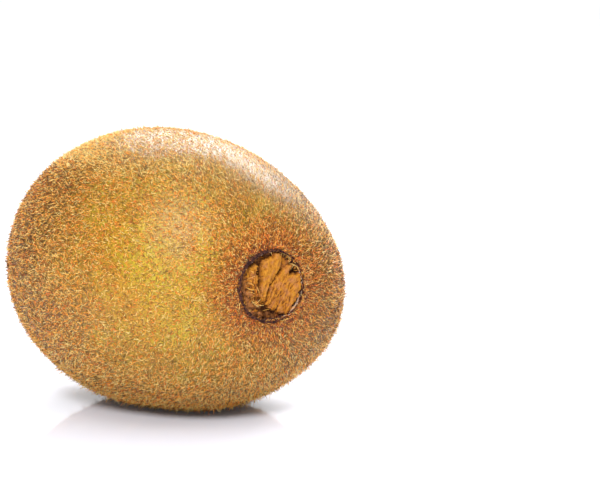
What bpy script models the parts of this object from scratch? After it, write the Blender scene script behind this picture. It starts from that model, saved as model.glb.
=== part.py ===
"""A kiwi fruit lying on its side, in metres, with +Z up.

The long axis runs along X, with the stalk end at +X and the blossom end at -X. The fruit grew as one piece, so
it is one closed solid: a body that is an oval in every section, a shallow round scar at the stalk end with a
raised collar around it and the broken woody stalk standing in it, a small dry tip at the blossom end, and a
small flat underneath that it rests on.
The origin is on the floor, under the middle of the box around the fruit.
"""

import math

import bmesh
import bpy
from mathutils import Matrix, Vector

FRUIT_NAME = "kiwi_fruit"

# The body: its two halves meet at the widest section, and each has its own length and bluntness.
STALK_LENGTH = 0.0304
BLOSSOM_LENGTH = 0.0358
HALF_WIDTH = 0.0266
HALF_HEIGHT = 0.0243
STALK_BLUNTNESS = 2.43
BLOSSOM_BLUNTNESS = 1.95

# How it grew unevenly: the oval section is rolled and has three weak lobes, and the long axis bends sideways.
SECTION_ROLL = math.radians(-34.6)
LOBE_SHARE = 0.029
LOBE_ANGLE = math.radians(-15.5)
LOBES = 3
BEND_RADIUS = -0.159
LUMP_HEIGHT = 0.00012

# How it lies: the stalk end is a little higher, and the weight has pressed a small flat into the skin.
PITCH = math.radians(1.96)
FLAT_DEPTH = 0.00035

# The scar left by the stalk, and the broken pieces of wood in it. Outlines are (across, up) from its middle.
SCAR_RADIUS = 0.0061
SCAR_FLOOR_RADIUS = 0.0055
SCAR_FLOOR = 0.0021
WOOD_ROOT = 0.0012
WOOD_BEVEL = 0.00018
LEFT_WOOD = ((-0.0046, 0.0030), (-0.0024, 0.0037), (-0.0024, -0.0014), (-0.0042, -0.0012), (-0.0049, 0.0006))
LEFT_WOOD_HEIGHT = 0.0013
MIDDLE_WOOD = (
    (-0.0018, 0.0044),
    (0.0012, 0.0054),
    (0.0024, 0.0040),
    (0.0004, 0.0008),
    (-0.0009, -0.0016),
    (-0.0023, -0.0028),
)
MIDDLE_WOOD_HEIGHT = 0.0024
RIGHT_WOOD = (
    (0.0027, 0.0036),
    (0.0040, 0.0031),
    (0.0035, 0.0018),
    (0.0054, 0.0015),
    (0.0052, -0.0004),
    (0.0042, -0.0028),
    (0.0030, -0.0043),
    (0.0003, -0.0041),
    (-0.0013, -0.0030),
    (-0.0004, -0.0014),
    (0.0009, 0.0008),
)
RIGHT_WOOD_HEIGHT = 0.0019

# The corky collar around the scar: a ring half sunk into the skin.
COLLAR_RADIUS = 0.0063
COLLAR_THICKNESS = 0.0011
COLLAR_DROP = 0.0005

# The dry tip left by the blossom: a short blunt cone with its foot sunk into the body.
TIP_FOOT_RADIUS = 0.0029
TIP_END_RADIUS = 0.0012
TIP_HEIGHT = 0.0010
TIP_ROOT = 0.0015

# How finely the round shapes are divided.
BODY_SEGMENTS = 80
BODY_RINGS = 44
SCAR_SEGMENTS = 56
COLLAR_SEGMENTS = 8
TIP_SEGMENTS = 24
SMOOTH_ANGLE = math.radians(35.0)
WELD_DISTANCE = 1e-6
CUTTER_SIDE = 0.2
CUTTER_REACH = 0.01

SKIN_COLOUR = (0.27, 0.15, 0.035, 1.0)
WOOD_COLOUR = (0.52, 0.26, 0.06, 1.0)
SCAR_COLOUR = (0.05, 0.02, 0.015, 1.0)


def clear_scene():
    for old in list(bpy.data.objects):
        bpy.data.objects.remove(old, do_unlink=True)


def make_collection(name):
    collection = bpy.data.collections.new(name)
    bpy.context.scene.collection.children.link(collection)
    return collection


def make_material(name, colour, roughness):
    material = bpy.data.materials.new(name)
    material.use_nodes = True
    material.diffuse_color = colour
    shader = material.node_tree.nodes["Principled BSDF"]
    shader.inputs["Base Color"].default_value = colour
    shader.inputs["Roughness"].default_value = roughness
    shader.inputs["Metallic"].default_value = 0.0
    return material


def add_object(name, bm, collection, material):
    """An object from a closed bmesh, with its faces turned outwards and its round parts shaded smooth."""
    bmesh.ops.recalc_face_normals(bm, faces=bm.faces)
    mesh = bpy.data.meshes.new(name)
    bm.to_mesh(mesh)
    bm.free()
    mesh.materials.append(material)
    mesh.shade_smooth()
    mesh.set_sharp_from_angle(angle=SMOOTH_ANGLE)
    obj = bpy.data.objects.new(name, mesh)
    collection.objects.link(obj)
    return obj


def add_helper(name, bm, collection, material):
    """A shape that a Boolean cuts away or joins on, drawn as wires and left out of a render."""
    helper = add_object(name, bm, collection, material)
    helper.hide_render = True
    helper.display_type = "WIRE"
    return helper


def join_or_cut(obj, helper, operation):
    modifier = obj.modifiers.new(helper.name, "BOOLEAN")
    modifier.operation = operation
    modifier.solver = "EXACT"
    modifier.material_mode = "TRANSFER"
    modifier.object = helper


def lumps(polar, around):
    """The gentle unevenness of the skin, which fades out at both ends."""
    waves = math.sin(5.0 * around + 2.0 * math.sin(3.0 * polar)) + math.sin(3.0 * around - 7.0 * polar)
    return LUMP_HEIGHT * waves * math.sin(polar)


def bend(point):
    """Wraps the straight long axis onto an arc in the level plane, with the point carried square to it."""
    angle = point.x / BEND_RADIUS
    reach = BEND_RADIUS - point.y
    return Vector((reach * math.sin(angle), BEND_RADIUS - reach * math.cos(angle), point.z))


def body_point(polar, around):
    """The skin's place, by the angle from the stalk end and the angle around the long axis."""
    along, outward = math.cos(polar), math.sin(polar)
    towards_stalk = along > 0.0
    length = STALK_LENGTH if towards_stalk else BLOSSOM_LENGTH
    bluntness = STALK_BLUNTNESS if towards_stalk else BLOSSOM_BLUNTNESS
    reach = (abs(along) ** bluntness + outward**bluntness) ** (-1.0 / bluntness)
    level_oval = Vector((HALF_WIDTH * math.cos(around), HALF_HEIGHT * math.sin(around)))
    oval = Matrix.Rotation(SECTION_ROLL, 2) @ level_oval
    lobe = 1.0 + LOBE_SHARE * math.cos(LOBES * (math.atan2(oval.y, oval.x) - LOBE_ANGLE))
    section = oval * (reach * outward * lobe * (1.0 + lumps(polar, around) / HALF_WIDTH))
    return bend(Vector((length * along * reach, section.x, section.y)))


def axis_frame(along):
    """The frame at a place on the long axis: its X runs along the axis and its Z is up across the fruit."""
    turn = Matrix.Rotation(along / BEND_RADIUS, 4, "Z")
    return Matrix.Translation(bend(Vector((along, 0.0, 0.0)))) @ turn


def add_body(collection, skin):
    bm = bmesh.new()
    bmesh.ops.create_uvsphere(bm, u_segments=BODY_SEGMENTS, v_segments=BODY_RINGS, radius=1.0)
    for vert in bm.verts:
        polar = math.acos(max(-1.0, min(1.0, vert.co.z)))
        around = math.atan2(vert.co.y, vert.co.x)
        vert.co = body_point(polar, around)
    return add_object(FRUIT_NAME, bm, collection, skin)


def add_frustum(name, segments, radii, ends, frame, collection, material):
    """A closed cone along the frame's X, from one end's place and radius to the other's."""
    middle = (ends[0] + ends[1]) / 2.0
    matrix = frame @ Matrix.Translation((middle, 0.0, 0.0)) @ Matrix.Rotation(math.radians(90.0), 4, "Y")
    bm = bmesh.new()
    bmesh.ops.create_cone(
        bm,
        cap_ends=True,
        segments=segments,
        radius1=radii[0],
        radius2=radii[1],
        depth=ends[1] - ends[0],
        matrix=matrix,
    )
    return add_helper(name, bm, collection, material)


def add_scar_cutter(collection, material):
    """The round pit, which widens outwards from its floor and goes on past the end of the body."""
    slope = (SCAR_RADIUS - SCAR_FLOOR_RADIUS) / SCAR_FLOOR
    outer_radius = SCAR_RADIUS + slope * CUTTER_REACH
    radii = (SCAR_FLOOR_RADIUS, outer_radius)
    ends = (-SCAR_FLOOR, CUTTER_REACH)
    frame = axis_frame(STALK_LENGTH)
    return add_frustum("scar_cutter", SCAR_SEGMENTS, radii, ends, frame, collection, material)


def add_collar(collection, material):
    """The raised ring around the scar: a small circle spun about the stalk's axis."""
    along = -COLLAR_DROP
    place = Matrix.Translation((along, 0.0, COLLAR_RADIUS)) @ Matrix.Rotation(math.radians(90.0), 4, "X")
    bm = bmesh.new()
    bmesh.ops.create_circle(bm, segments=COLLAR_SEGMENTS, radius=COLLAR_THICKNESS / 2.0, matrix=place)
    bmesh.ops.spin(
        bm,
        geom=bm.verts[:] + bm.edges[:],
        cent=(0.0, 0.0, 0.0),
        axis=(1.0, 0.0, 0.0),
        angle=math.tau,
        steps=SCAR_SEGMENTS,
        use_merge=True,
    )
    bmesh.ops.transform(bm, matrix=axis_frame(STALK_LENGTH), verts=bm.verts)
    return add_helper("scar_collar", bm, collection, material)


def add_wood(name, outline, height, collection, material):
    """One broken piece of the stalk: a prism on the scar's floor, with its foot sunk into the body."""
    curve = bpy.data.curves.new(name, "CURVE")
    curve.dimensions = "2D"
    curve.fill_mode = "BOTH"
    curve.extrude = (height + WOOD_ROOT) / 2.0
    spline = curve.splines.new("POLY")
    spline.points.add(len(outline) - 1)
    for point, (across, up) in zip(spline.points, outline):
        point.co = (across, up, 0.0, 1.0)
    spline.use_cyclic_u = True
    flat = bpy.data.objects.new(name + "_outline", curve)
    collection.objects.link(flat)
    graph = bpy.context.evaluated_depsgraph_get()
    mesh = bpy.data.meshes.new_from_object(flat.evaluated_get(graph))
    bm = bmesh.new()
    bm.from_mesh(mesh)
    bmesh.ops.remove_doubles(bm, verts=bm.verts, dist=WELD_DISTANCE)
    middle = (height - WOOD_ROOT) / 2.0 - SCAR_FLOOR
    facing_out = Matrix(((0, 0, 1, middle), (1, 0, 0, 0), (0, 1, 0, 0), (0, 0, 0, 1)))
    bmesh.ops.transform(bm, matrix=axis_frame(STALK_LENGTH) @ facing_out, verts=bm.verts)
    bpy.data.objects.remove(flat, do_unlink=True)
    wood = add_helper(name, bm, collection, material)
    rounding = wood.modifiers.new("rounded", "BEVEL")
    rounding.width = WOOD_BEVEL
    rounding.segments = 1
    return wood


def add_tip(collection, material):
    """The blossom's dry tip, which narrows outwards from the blossom end."""
    radii = (TIP_END_RADIUS, TIP_FOOT_RADIUS)
    ends = (-TIP_HEIGHT, TIP_ROOT)
    frame = axis_frame(-BLOSSOM_LENGTH)
    return add_frustum("blossom_tip", TIP_SEGMENTS, radii, ends, frame, collection, material)


def add_floor_cutter(collection, material):
    """A block whose top is the floor, which cuts the small flat underneath."""
    bm = bmesh.new()
    below = Matrix.Translation((0.0, 0.0, -CUTTER_SIDE / 2.0))
    bmesh.ops.create_cube(bm, size=CUTTER_SIDE, matrix=below)
    return add_helper("floor_cutter", bm, collection, material)


def lay_down(body, helpers):
    """Pitches the fruit and lowers it until its underside reaches FLAT_DEPTH below the floor."""
    lie = Matrix.Rotation(-PITCH, 4, "Y")
    lowest = min((lie @ vert.co).z for vert in body.data.vertices)
    lie = Matrix.Translation((0.0, 0.0, -FLAT_DEPTH - lowest)) @ lie
    for obj in (body, *helpers):
        obj.data.transform(lie)


def centre_on_origin(body, helpers):
    """Slides everything level until the box around the finished fruit has its middle over the origin."""
    graph = bpy.context.evaluated_depsgraph_get()
    corners = [Vector(corner) for corner in body.evaluated_get(graph).bound_box]
    middle = sum(corners, Vector()) / len(corners)
    slide = Matrix.Translation((-middle.x, -middle.y, 0.0))
    for obj in (body, *helpers):
        obj.data.transform(slide)


def main():
    clear_scene()
    fruit = make_collection(FRUIT_NAME)
    helpers = make_collection("cutters")
    skin = make_material("skin", SKIN_COLOUR, 0.55)
    wood = make_material("wood", WOOD_COLOUR, 0.8)
    scar = make_material("scar", SCAR_COLOUR, 0.9)

    body = add_body(fruit, skin)
    collar = add_collar(helpers, scar)
    pit = add_scar_cutter(helpers, scar)
    left = add_wood("left_wood", LEFT_WOOD, LEFT_WOOD_HEIGHT, helpers, wood)
    middle = add_wood("middle_wood", MIDDLE_WOOD, MIDDLE_WOOD_HEIGHT, helpers, wood)
    right = add_wood("right_wood", RIGHT_WOOD, RIGHT_WOOD_HEIGHT, helpers, wood)
    tip = add_tip(helpers, scar)
    lay_down(body, (collar, pit, left, middle, right, tip))
    floor = add_floor_cutter(helpers, skin)

    join_or_cut(body, collar, "UNION")
    join_or_cut(body, pit, "DIFFERENCE")
    for joined in (left, middle, right, tip):
        join_or_cut(body, joined, "UNION")
    join_or_cut(body, floor, "DIFFERENCE")
    centre_on_origin(body, (collar, pit, left, middle, right, tip, floor))


if __name__ == "__main__":
    main()
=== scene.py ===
"""A hairy kiwi fruit lying on its side on a white studio floor.

The skin, the broken stalk in its scar, the papery rim, the dry blossom and four coats of hair are surfaces
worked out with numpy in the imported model's own frame, in metres.
"""

import math

import bpy
import numpy as np
from bpy.props import FloatProperty, FloatVectorProperty, IntProperty, PointerProperty
from mathutils import Matrix, Vector


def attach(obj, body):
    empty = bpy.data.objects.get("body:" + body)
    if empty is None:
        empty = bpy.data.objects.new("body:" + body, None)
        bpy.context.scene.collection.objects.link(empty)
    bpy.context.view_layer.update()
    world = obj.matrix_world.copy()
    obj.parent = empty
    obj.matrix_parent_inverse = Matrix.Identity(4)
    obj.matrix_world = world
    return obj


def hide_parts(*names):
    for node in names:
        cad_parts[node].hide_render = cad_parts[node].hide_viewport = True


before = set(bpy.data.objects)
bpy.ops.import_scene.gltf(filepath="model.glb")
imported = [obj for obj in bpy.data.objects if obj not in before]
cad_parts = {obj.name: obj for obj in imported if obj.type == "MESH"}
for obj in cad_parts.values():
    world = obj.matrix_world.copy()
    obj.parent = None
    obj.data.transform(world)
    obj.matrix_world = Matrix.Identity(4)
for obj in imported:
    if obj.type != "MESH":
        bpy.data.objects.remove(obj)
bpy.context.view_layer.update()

bl_info = {
    "name": "Kiwi Fruit",
    "version": (1, 0, 0),
    "blender": (4, 5, 0),
    "location": "View3D > Sidebar > Kiwi",
    "description": "Builds a hairy kiwi fruit with a broken stalk, on a studio floor",
    "category": "Add Mesh",
}

NODE = "kiwi_fruit"
BODY = "root"
MM = 0.001
FIBRE_SEED = 31
STYLE_SEED = 51
PHOTO_WIDTH = 600
PHOTO_HEIGHT = 498
GOLDEN_ANGLE = math.pi * (3.0 - math.sqrt(5.0))
# A distance for the places that the scar doesn't reach.
FAR_OFF = 1.0
# The name of each piece's map, which the hair's material reads.
BAKE_MAP = "OFBake"
# The direction round the scar, turned from across to up, in which its dark ring lies open.
OPEN_SIDE = math.radians(172.0)


def length(name, description, default):
    """A length in metres."""
    return FloatProperty(name=name, description=description, default=default, unit="LENGTH", precision=5)


def turn(name, description, degrees):
    """An angle, given in degrees."""
    return FloatProperty(name=name, description=description, default=math.radians(degrees), subtype="ANGLE")


def amount(name, description, default):
    """A plain number, never below 0."""
    return FloatProperty(name=name, description=description, default=default, min=0.0)


def tint(name, description, default):
    """A colour in linear light."""
    kind = {"subtype": "COLOR", "min": 0.0, "max": 1.0}
    return FloatVectorProperty(name=name, description=description, default=default, **kind)


def spot(name, description, default, subtype="TRANSLATION"):
    """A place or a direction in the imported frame."""
    kind = {"subtype": subtype, "precision": 5}
    return FloatVectorProperty(name=name, description=description, default=default, **kind)


class FruitShape(bpy.types.PropertyGroup):
    """The body's driving sizes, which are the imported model's own."""

    stalk_length: length("Stalk half", "Widest section to the stalk end", 0.0304)
    blossom_length: length("Blossom half", "Widest section to the blossom end", 0.0358)
    half_width: length("Half width", "Longer half axis of the oval section", 0.0266)
    half_height: length("Half height", "Shorter half axis of the oval section", 0.0243)
    stalk_bluntness: amount("Stalk bluntness", "Exponent of the stalk half's outline, 2 for an ellipse", 2.43)
    blossom_bluntness: amount("Blossom bluntness", "Exponent of the blossom half's outline", 1.95)
    section_roll: turn("Section roll", "Turn of the oval section about the long axis", -34.6)
    lobe_share: amount("Lobe share", "Height of the three weak lobes as a share of the section", 0.029)
    lobe_angle: turn("Lobe angle", "Where the first lobe stands", -15.5)
    bend_radius: length("Bend radius", "Radius of the arc that the long axis follows", -0.159)
    lump_height: length("Lump height", "Height of the skin's gentle unevenness", 0.00012)
    pitch: turn("Pitch", "How far the stalk end is raised", 1.96)
    middle: spot("Middle", "Middle of the widest section in the frame", (0.00263, -0.00067, 0.02394))
    scar_radius: length("Scar radius", "Radius of the stalk scar's rim", 0.0061)
    scar_floor: length("Scar floor", "Depth of the scar under the stalk end", 0.0021)
    scar_wall: length("Scar wall", "Width over which the rim drops to the floor", 0.0007)
    collar_height: length("Collar height", "How far the corky collar stands out", 0.00035)
    collar_width: length("Collar width", "Half width of the corky collar", 0.0005)


class SkinLook(bpy.types.PropertyGroup):
    """The skin's colours."""

    # The cheek lies where the front softbox lights the fruit most. The olive brown away from it is partly the
    # skin's own colour and partly painted shade.
    green: tint("Green", "Yellow green of the sunlit cheek", (0.46, 0.35, 0.014))
    gold: tint("Gold", "Golden brown patches", (0.44, 0.24, 0.009))
    bronze_and_shade: tint("Bronze", "Olive brown away from the cheek", (0.165, 0.100, 0.008))
    brown: tint("Brown", "Brown flecks at the roots of the hair", (0.20, 0.080, 0.007))
    cheek: spot("Cheek", "Middle of the yellow green cheek", (0.01995, -0.0193, 0.0232))
    bruise_place: spot("Bruise place", "Middle of the mark above the cheek", (0.0185, -0.0102, 0.0416))
    bruise: tint("Bruise", "Purple brown mark", (0.20, 0.105, 0.06))
    halo: tint("Halo", "Rusty skin round the scar", (0.21, 0.040, 0.009))
    scar: tint("Scar", "Darkest purple brown of the scar", (0.014, 0.006, 0.005))
    pit: tint("Pit", "Brown wall of the scar", (0.050, 0.015, 0.008))
    cork: tint("Cork", "Purple brown of the corky collar", (0.075, 0.026, 0.020))


class StalkLook(bpy.types.PropertyGroup):
    """The broken stalk's colours."""

    pale: tint("Pale wood", "Fresh fibres", (0.46, 0.19, 0.016))
    amber: tint("Amber wood", "Most of the wood", (0.34, 0.11, 0.008))
    rosy: tint("Rosy wood", "Brown patches on the wood", (0.38, 0.15, 0.050))
    # The dark wood lies where the relief is low: in the grooves, hollows and moat it is painted shade,
    # besides the wood's own dark.
    dark: tint("Dark wood", "Grooves between the fibres", (0.06, 0.018, 0.005))
    paper: tint("Paper", "Dry membrane round the scar", (0.42, 0.32, 0.23))


class DownLook(bpy.types.PropertyGroup):
    """The hair's numbers, sizes and colours."""

    hairs: IntProperty(name="Hairs", description="Hairs in each of the four coats", default=32000)
    bristle_length: length("Bristle length", "Middle length of a bristle", 0.00108)
    velvet_length: length("Velvet length", "Middle length of the short velvet", 0.00085)
    bristle_radius: length("Bristle radius", "Radius of a bristle at its bend", 0.000050)
    velvet_radius: length("Velvet radius", "Radius of a velvet hair at its bend", 0.000043)
    straw: tint("Straw", "Palest hair", (1.0, 0.80, 0.30))
    golden: tint("Golden", "Most of the hair", (0.94, 0.435, 0.048))
    rust: tint("Rust", "Reddest hair", (0.95, 0.195, 0.026))
    umber: tint("Umber", "Darkest hair", (0.130, 0.055, 0.012))
    # Where the hair is rubbed it is also made paler, as a painted sheen under the gloss.
    rubbed_sheen_side: spot("Rubbed side", "Where the hair is worn", (0.547, 0.314, 0.784), "DIRECTION")


class StageSettings(bpy.types.PropertyGroup):
    """The camera, the lights and the floor."""

    azimuth: turn("Azimuth", "Where the camera stands round the fruit", 47.73)
    elevation: turn("Elevation", "How far the camera looks down", 8.0)
    distance: length("Distance", "Camera to the fruit's middle", 0.480)
    lens: amount("Lens", "Focal length in millimetres", 160.0)
    sensor: amount("Sensor", "Sensor width in millimetres", 36.0)
    picture_x: amount("Across", "Pixels from the left edge to the fruit's middle", 171.6)
    picture_y: amount("Down", "Pixels from the top edge to the fruit's middle", 271.1)
    floor_size: length("Floor size", "Side of the floor", 12.0)
    key_power: amount("Key power", "Watts of the front softbox", 8.9)
    strip_power: amount("Strip power", "Watts of the long softbox behind", 7.0)
    sun_strength: amount("Overhead light", "Strength of the wide light overhead", 2.6)
    sun_spread: turn("Overhead spread", "Angle that the wide light overhead covers", 95.0)
    backdrop: amount("Backdrop", "Strength of the bright backdrop", 1.0)
    fill: amount("Fill", "Strength of the white surroundings", 0.33)


def unit(vectors):
    """Each vector over its own length."""
    return vectors / np.maximum(np.linalg.norm(vectors, axis=-1, keepdims=True), 1e-12)


def smooth_step(x):
    """0 below 0, 1 above 1 and 3x^2 - 2x^3 between."""
    x = np.clip(x, 0.0, 1.0)
    return x * x * (3.0 - 2.0 * x)


def ramp(value, start, width):
    """0 up to the start, 1 past its width and smooth between."""
    return smooth_step((value - start) / width)


def rotated(x, y, angle):
    """Two coordinates turned by an angle: x cos - y sin and x sin + y cos."""
    cosine, sine = math.cos(angle), math.sin(angle)
    return x * cosine - y * sine, x * sine + y * cosine


def round_axis(rise, reach, angle):
    """Places at a rise along an axis, a reach from it and an angle round it."""
    return np.stack(np.broadcast_arrays(rise, reach * np.cos(angle), reach * np.sin(angle)), axis=-1)


def full_turn(count):
    """Equal steps once round."""
    return np.arange(count) * math.tau / count


def bend(shape, points):
    """Wraps the straight long axis onto an arc: a point x along and y across goes to the arc's angle
    x / radius, at the distance radius - y from the arc's centre."""
    radius = shape.bend_radius
    angle = points[..., 0] / radius
    reach = radius - points[..., 1]
    return np.stack([reach * np.sin(angle), radius - reach * np.cos(angle), points[..., 2]], axis=-1)


def body_points(shape, polar, around):
    """The fruit's skin in its own frame. Along the axis it is length * cos(polar) * reach and across it
    oval * sin(polar) * reach, with reach = (|cos|^n + sin^n)^(-1/n), a rolled oval section of three weak
    lobes, 1 + share * cos(3 (angle - first)), and waves of a tenth of a millimetre."""
    along, outward = np.cos(polar), np.sin(polar)
    front = along > 0.0
    half = np.where(front, shape.stalk_length, shape.blossom_length)
    blunt = np.where(front, shape.stalk_bluntness, shape.blossom_bluntness)
    reach = (np.abs(along) ** blunt + np.abs(outward) ** blunt) ** (-1.0 / blunt)
    oval = shape.half_width * np.cos(around), shape.half_height * np.sin(around)
    y, z = rotated(*oval, shape.section_roll)
    lobe = 1.0 + shape.lobe_share * np.cos(3.0 * (np.arctan2(z, y) - shape.lobe_angle))
    waves = np.sin(5.0 * around + 2.0 * np.sin(3.0 * polar)) + np.sin(3.0 * around - 7.0 * polar)
    lumps = 1.0 + shape.lump_height / shape.half_width * waves * outward
    wide = reach * outward * lobe * lumps
    return bend(shape, np.stack([half * along * reach, y * wide, z * wide], axis=-1))


def axis_frame(shape, along):
    """The turn and the place of the frame at a point of the long axis, with its X outwards along it."""
    angle = along / shape.bend_radius
    cosine, sine = math.cos(angle), math.sin(angle)
    turned = np.array([[cosine, -sine, 0.0], [sine, cosine, 0.0], [0.0, 0.0, 1.0]])
    return turned, bend(shape, np.array([along, 0.0, 0.0]))


def turned_in(shape, directions):
    """The fruit's own directions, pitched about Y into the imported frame."""
    x, z = rotated(directions[..., 0], directions[..., 2], shape.pitch)
    return np.stack([x, directions[..., 1], z], axis=-1)


def laid(shape, points):
    """The fruit's own places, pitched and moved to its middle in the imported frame, with nothing under the
    floor."""
    moved = turned_in(shape, points) + np.array(shape.middle)
    moved[..., 2] = np.maximum(moved[..., 2], 0.0)
    return moved


def from_axis(shape, along, local):
    """Places given outwards, across and up from a point of the long axis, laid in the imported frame."""
    turned, place = axis_frame(shape, along)
    return laid(shape, local @ turned.T + place)


def at_stalk(shape, points):
    """The fruit's own places seen from the stalk end: outwards, across and up."""
    turned, place = axis_frame(shape, shape.stalk_length)
    return (points - place) @ turned


def scar_relief(shape, across, up):
    """How far the skin rises along the stalk's axis at a place in the scar's plane: a collar shaped
    exp(-(d / width)^2) round an uneven rim, less the pit's depth stepped smoothly over the wall's width."""
    radius = np.hypot(across, up)
    angle = np.arctan2(up, across)
    rim = shape.scar_radius * (1.0 + 0.02 * np.sin(2.0 * angle + 0.8) + 0.012 * np.sin(5.0 * angle))
    rim = rim + 0.00006 * np.sin(17.0 * angle) + 0.00004 * np.sin(31.0 * angle + 1.0)
    collar = shape.collar_height * (0.8 + 0.3 * np.sin(3.0 * angle + 2.0))
    collar = collar * (1.0 + 0.25 * np.sin(23.0 * angle))
    collar = collar * np.exp(-(((radius - rim - 0.6 * shape.collar_width) / shape.collar_width) ** 2))
    pit = shape.scar_floor * smooth_step((rim - radius) / shape.scar_wall)
    rough = 0.00012 * np.sin(1900.0 * across + 2.0) * np.sin(2300.0 * up) * smooth_step((rim - radius) / MM)
    return collar - pit + rough


# The polar angle inside which the scar's relief shapes the skin.
RELIEF_ANGLE = 0.6


def skin_points(shape, polar, around):
    """The body with its scar: near the stalk end a point is moved along the stalk's axis by the relief."""
    points = body_points(shape, polar, around)
    turned, place = axis_frame(shape, shape.stalk_length)
    local = at_stalk(shape, points)
    lift = np.where(polar < RELIEF_ANGLE, scar_relief(shape, local[..., 1], local[..., 2]), 0.0)
    return points + lift[..., None] * turned[:, 0]


def ring_faces(rows, columns):
    """Faces of a closed surface of rings between two poles: triangles round each pole and quads between the
    rings. A corner's row is -1 at the first pole and the number of rings at the last. Gives the corners'
    points, each face's corner count, and the map: column and row over their numbers."""
    every = np.arange(columns)
    zero = np.zeros(columns)
    row, column = (grid.ravel() for grid in np.meshgrid(np.arange(rows - 1), every, indexing="ij"))
    first = [[zero - 1, zero, zero], [every + 0.5, every, every + 1]]
    quads = [[row, row, row + 1, row + 1], [column + 1, column, column, column + 1]]
    last = [[zero + rows - 1, zero + rows - 1, zero + rows], [every + 1, every, every + 0.5]]
    parts = [np.array(part).transpose(2, 1, 0).reshape(-1, 2) for part in (first, quads, last)]
    row, column = np.concatenate(parts).T
    corners = np.clip(1 + row * columns + column % columns, 0, 1 + rows * columns).astype(int)
    totals = np.repeat([3, 4, 3], [columns, (rows - 1) * columns, columns])
    return corners, totals, np.stack([column / columns, (row + 1.0) / (rows + 1.0)], axis=1)


def link(name, data):
    """A new object in the scene."""
    thing = bpy.data.objects.new(name, data)
    bpy.context.scene.collection.objects.link(thing)
    return thing


def add_piece(name, points, corners, totals, uv, material, map_name=BAKE_MAP):
    """A finished piece from whole arrays: places, the faces' corners one after another, the faces' corner
    counts and the corners' map. It rides on the fruit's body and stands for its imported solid."""
    mesh = bpy.data.meshes.new(name)
    mesh.vertices.add(len(points))
    mesh.vertices.foreach_set("co", np.asarray(points, np.float32).ravel())
    mesh.loops.add(len(corners))
    mesh.loops.foreach_set("vertex_index", np.asarray(corners, np.int32))
    mesh.polygons.add(len(totals))
    starts = np.concatenate([[0], np.cumsum(totals)[:-1]])
    mesh.polygons.foreach_set("loop_start", np.asarray(starts, np.int32))
    mesh.polygons.foreach_set("use_smooth", np.ones(len(totals), bool))
    mesh.update(calc_edges=True)
    layer = mesh.uv_layers.new(name=map_name)
    layer.uv.foreach_set("vector", np.asarray(uv, np.float32).ravel())
    mesh.materials.append(material)
    piece = link(name, mesh)
    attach(piece, BODY)
    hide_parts(NODE)
    return mesh


def add_rings(name, rings, ends, material):
    """A closed piece from its rings and its two poles."""
    points = np.concatenate([ends[:1], rings.reshape(-1, 3), ends[1:]])
    corners, totals, uv = ring_faces(*rings.shape[:2])
    return add_piece(name, points, corners, totals, uv, material)


def set_values(mesh, name, values):
    """A number at each point of the mesh, for its material to read."""
    attribute = mesh.attributes.new(name, "FLOAT", "POINT")
    attribute.data.foreach_set("value", values.astype(np.float32))


class Nodes:
    """A material's node tree, with short ways to add a node and to link it."""

    def __init__(self, name):
        self.material = bpy.data.materials.new(name)
        self.material.use_nodes = True
        self.tree = self.material.node_tree
        self.shader = self.tree.nodes["Principled BSDF"]

    def add(self, kind, inputs=None, **fields):
        """A node with its fields, each input linked where a socket is given and set where a value is."""
        node = self.tree.nodes.new(kind)
        for field, value in fields.items():
            setattr(node, field, value)
        for key, value in (inputs or {}).items():
            self.feed(node.inputs[key], value)
        return node

    def feed(self, socket, value):
        """Links a socket to another or sets its value."""
        if isinstance(value, bpy.types.NodeSocket):
            self.tree.links.new(value, socket)
        else:
            socket.default_value = value

    def place(self):
        """The place on the piece, in metres."""
        return self.add("ShaderNodeTexCoord").outputs["Object"]

    def noise(self, vector, scale, detail=3.0, roughness=0.6):
        """Fractal noise."""
        inputs = {"Vector": vector, "Scale": scale, "Detail": detail, "Roughness": roughness}
        return self.add("ShaderNodeTexNoise", inputs).outputs["Fac"]

    def spread(self, value, low, high, to_low=0.0, to_high=1.0):
        """The value's stretch from low to high, laid over another stretch and kept inside it."""
        inputs = {"Value": value, "From Min": low, "From Max": high, "To Min": to_low, "To Max": to_high}
        return self.add("ShaderNodeMapRange", inputs).outputs["Result"]

    def math(self, operation, a, b):
        """Two values added, or the larger of them, or another operation's result."""
        return self.add("ShaderNodeMath", {0: a, 1: b}, operation=operation).outputs[0]

    def shaken(self, value, noise, reach):
        """The value moved up or down by as much as the reach, by a noise."""
        return self.math("ADD", value, self.spread(noise, 0.3, 0.7, -reach, reach))

    def mix(self, factor, a, b):
        """Colour a where the factor is 0 and b where it is 1."""
        colours = [value if isinstance(value, bpy.types.NodeSocket) else (*value, 1.0) for value in (a, b)]
        inputs = {0: factor, 6: colours[0], 7: colours[1]}
        return self.add("ShaderNodeMix", inputs, data_type="RGBA").outputs[2]

    def away(self, vector, middle):
        """The distance from a middle."""
        inputs = {0: vector, 1: middle}
        return self.add("ShaderNodeVectorMath", inputs, operation="DISTANCE").outputs["Value"]

    def attribute(self, name):
        """A number kept at the points of the mesh."""
        return self.add("ShaderNodeAttribute", attribute_name=name).outputs["Fac"]

    def finish(self, colour, roughness, specular, bump=None, distance=0.0, strength=0.5):
        """The material with its colour, roughness and specular level, and a bump where one is given."""
        self.feed(self.shader.inputs["Base Color"], colour)
        self.feed(self.shader.inputs["Roughness"], roughness)
        self.shader.inputs["Specular IOR Level"].default_value = specular
        if bump is not None:
            inputs = {"Height": bump, "Distance": distance, "Strength": strength}
            self.feed(self.shader.inputs["Normal"], self.add("ShaderNodeBump", inputs).outputs["Normal"])
        return self.material


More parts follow.
